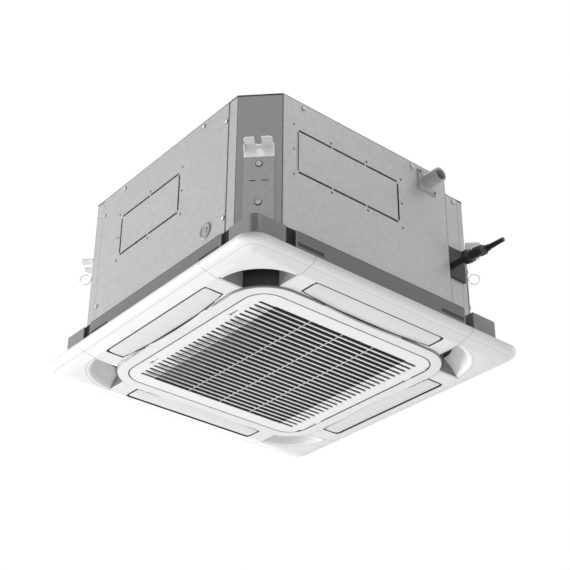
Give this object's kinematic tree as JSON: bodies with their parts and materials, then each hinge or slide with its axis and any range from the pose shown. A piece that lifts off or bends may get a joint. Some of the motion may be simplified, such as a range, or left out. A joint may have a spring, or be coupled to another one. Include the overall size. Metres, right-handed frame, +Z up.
{
  "type": "ceiling cassette air conditioner",
  "caption": "Ceiling cassette air conditioner: zinc steel body with hangers, pipe stubs and drain, white square panel with a hinged slatted grille, tilting vanes and corner outlets.",
  "frame": {"origin": "centre of the square panel, on the plane of its rear edge, which is the ceiling's underside", "axes": "+Z up into the ceiling void, +X towards the pipe and drain side, +Y towards the grille's hinge"},
  "size_m": [0.695, 0.65, 0.3696],
  "materials": {
    "panel_white": "satin white moulded panel",
    "grille_white": "satin white moulded grille",
    "vane_grey": "very light grey vane with a fine grain",
    "outlet_grey": "light grey moulded corner outlet",
    "indicator": "translucent grey window strip",
    "motor_plastic": "plastic housing of small stepper motors",
    "filter_net": "dark filter net and frame",
    "frame_plastic": "dark grey moulded back frame",
    "black_foam": "black foam",
    "zinc_sheet": "galvanised sheet steel with fine spangle",
    "hanger_steel": "bright galvanised pressed steel",
    "screw_steel": "zinc plated screws",
    "cap_plastic": "grey plastic cap",
    "wire": "bright wire",
    "grey_foam": "dark grey foam insulation",
    "white_foam": "white moulded foam",
    "bell_plastic": "light grey moulded bell mouth",
    "fins": "aluminium fins",
    "copper": "copper pipe",
    "black_plastic": "black plastic",
    "spigot_plastic": "light grey plastic drain outlet",
    "pump_plastic": "grey pump housing",
    "hose_rubber": "dark rubber hose",
    "float_white": "white plastic",
    "float_blue": "blue float",
    "motor_metal": "grey motor housing",
    "shaft_steel": "ground steel",
    "fan_plastic": "dark moulded fan",
    "bush_rubber": "black rubber bushes on studs"
  },
  "bodies": {
    "casing": {"panel_frame": "panel_white", "corner_cover_front_right": "panel_white", "corner_cover_rear_right": "panel_white", "corner_cover_rear_left": "panel_white", "corner_cover_front_left": "panel_white", "corner_outlets": "outlet_grey", "indicator_window": "indicator", "vane_motors": "motor_plastic", "back_frame": "frame_plastic", "corner_blocks": "frame_plastic", "intake_shroud": "black_foam", "outer_lining": "black_foam", "panel_bolts": "screw_steel", "side_panel_right": "zinc_sheet", "side_panel_rear": "zinc_sheet", "side_panel_left": "zinc_sheet", "side_panel_front": "zinc_sheet", "corner_post_front_right": "zinc_sheet", "corner_post_rear_right": "zinc_sheet", "corner_post_rear_left": "zinc_sheet", "corner_post_front_left": "zinc_sheet", "top_plate": "zinc_sheet", "hanger_front_right": "hanger_steel", "hanger_rear_right": "hanger_steel", "hanger_rear_left": "hanger_steel", "hanger_front_left": "hanger_steel", "casing_screws": "screw_steel", "fresh_air_cap": "cap_plastic", "wire_hooks": "wire", "wall_insulation": "grey_foam", "top_insulation": "grey_foam", "drain_tray": "white_foam", "bell_mouth": "bell_plastic", "heat_exchanger": "fins", "coil_pipes": "copper", "pipe_gland": "black_plastic", "gas_flare_nut": "black_plastic", "liquid_flare_nut": "black_plastic", "pipe_caps": "black_plastic", "drain_spigot": "spigot_plastic", "drain_hose": "hose_rubber", "drain_pump": "pump_plastic", "float_switch": "float_white", "fan_motor": "motor_metal", "motor_mounts": "bush_rubber", "control_box": "zinc_sheet", "control_box_lid": "zinc_sheet"},
    "fan": {"motor_shaft": "shaft_steel", "fan_impeller": "fan_plastic", "fan_shroud": "fan_plastic", "fan_nut": "shaft_steel"},
    "vane_right": {"vane_right": "vane_grey"},
    "vane_rear": {"vane_rear": "vane_grey"},
    "vane_left": {"vane_left": "vane_grey"},
    "vane_front": {"vane_front": "vane_grey"},
    "grille": {"intake_grille": "grille_white", "air_filter": "filter_net"},
    "latch_left": {"grille_latch_left": "grille_white"},
    "latch_right": {"grille_latch_right": "grille_white"},
    "float": {"float": "float_blue"}
  },
  "joints": [
    {"name": "fan_spin", "type": "hinge", "parent": "casing", "child": "fan", "pos_m": [0, 0, 0.2], "axis": [0, 0, 1], "continuous": true},
    {"name": "vane_right_tilt", "type": "hinge", "parent": "casing", "child": "vane_right", "pos_m": [0.256, 0, -0.0115], "axis": [0, 1, 0], "range_deg": [0, 60]},
    {"name": "vane_rear_tilt", "type": "hinge", "parent": "casing", "child": "vane_rear", "pos_m": [0, 0.256, -0.0115], "axis": [-1, 0, 0], "range_deg": [0, 60]},
    {"name": "vane_left_tilt", "type": "hinge", "parent": "casing", "child": "vane_left", "pos_m": [-0.256, 0, -0.0115], "axis": [0, -1, 0], "range_deg": [0, 60]},
    {"name": "vane_front_tilt", "type": "hinge", "parent": "casing", "child": "vane_front", "pos_m": [0, -0.256, -0.0115], "axis": [1, 0, 0], "range_deg": [0, 60]},
    {"name": "grille_swing", "type": "hinge", "parent": "casing", "child": "grille", "pos_m": [0, 0.2105, -0.0189], "axis": [1, 0, 0], "range_deg": [0, 90]},
    {"name": "latch_left_slide", "type": "slide", "parent": "grille", "child": "latch_left", "axis": [0, 1, 0], "range_m": [0, 0.006], "stiffness_N_per_m": 250, "springref_m": -0.004},
    {"name": "latch_right_slide", "type": "slide", "parent": "grille", "child": "latch_right", "axis": [0, 1, 0], "range_m": [0, 0.006], "stiffness_N_per_m": 250, "springref_m": -0.004},
    {"name": "float_rise", "type": "slide", "parent": "casing", "child": "float", "axis": [0, 0, 1], "range_m": [0, 0.008]}
  ]
}
